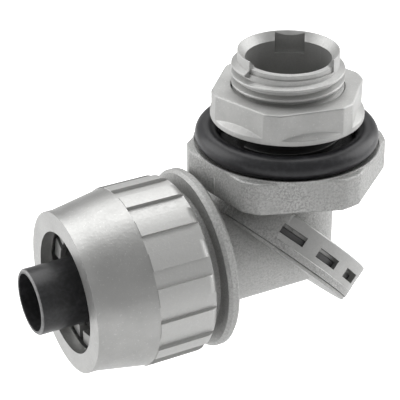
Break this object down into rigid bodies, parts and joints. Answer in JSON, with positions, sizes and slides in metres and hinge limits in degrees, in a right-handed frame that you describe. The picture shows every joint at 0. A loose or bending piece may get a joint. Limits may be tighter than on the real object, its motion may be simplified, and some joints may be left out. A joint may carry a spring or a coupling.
{
  "type": "liquidtight conduit connector, right angle",
  "caption": "Right-angle liquidtight conduit connector: threaded hub with locknut and sealing ring, mitre swivel elbow, ribbed compression nut over a plastic ferrule",
  "frame": {"origin": "on the hub's axis, in the plane of the hexagon's seat face that the enclosure wall rests on", "axes": "+Z along the hub's axis, out of the threaded stub; -X towards the compression nut, along the branch as seen from above"},
  "size_m": [0.0724, 0.038, 0.0567],
  "materials": {
    "cast_zinc": "rough as cast, nickel grey",
    "plated_nut": "satin plated",
    "black_rubber": "matt",
    "black_plastic": "semi-matt",
    "spring_steel": "dark oxide"
  },
  "bodies": {
    "hub": {"hub_casting": "cast_zinc", "flange_o_ring": "black_rubber", "swivel_snap_ring": "spring_steel"},
    "branch": {"branch_casting": "cast_zinc", "swivel_seal": "black_rubber", "conduit_seal": "black_rubber", "ferrule": "black_plastic"},
    "locknut": {"hub_locknut": "plated_nut"},
    "clamp": {"clamp_ring": "plated_nut"},
    "nut": {"compression_nut": "plated_nut"}
  },
  "joints": [
    {"name": "elbow_swivel", "type": "hinge", "parent": "hub", "child": "branch", "pos_m": [0, 0, -0.0203], "axis": [0.6964, 0.1227, 0.7071], "continuous": true},
    {"name": "locknut_turn", "type": "hinge", "parent": "hub", "child": "locknut", "pos_m": [0, 0, 0], "axis": [0, 0, 1], "continuous": true},
    {"name": "clamp_slide", "type": "slide", "parent": "branch", "child": "clamp", "axis": [-0.9999, 0, -0.0153], "range_m": [-0.0015, 0.0045]},
    {"name": "nut_turn", "type": "hinge", "parent": "clamp", "child": "nut", "pos_m": [0, 0, -0.0203], "axis": [-0.9999, 0, -0.0153], "range_deg": [-360, 1080]}
  ],
  "couplings": [
    {"joint": "clamp_slide", "follows": "nut_turn", "m_per_rad": 0.00023873}
  ]
}
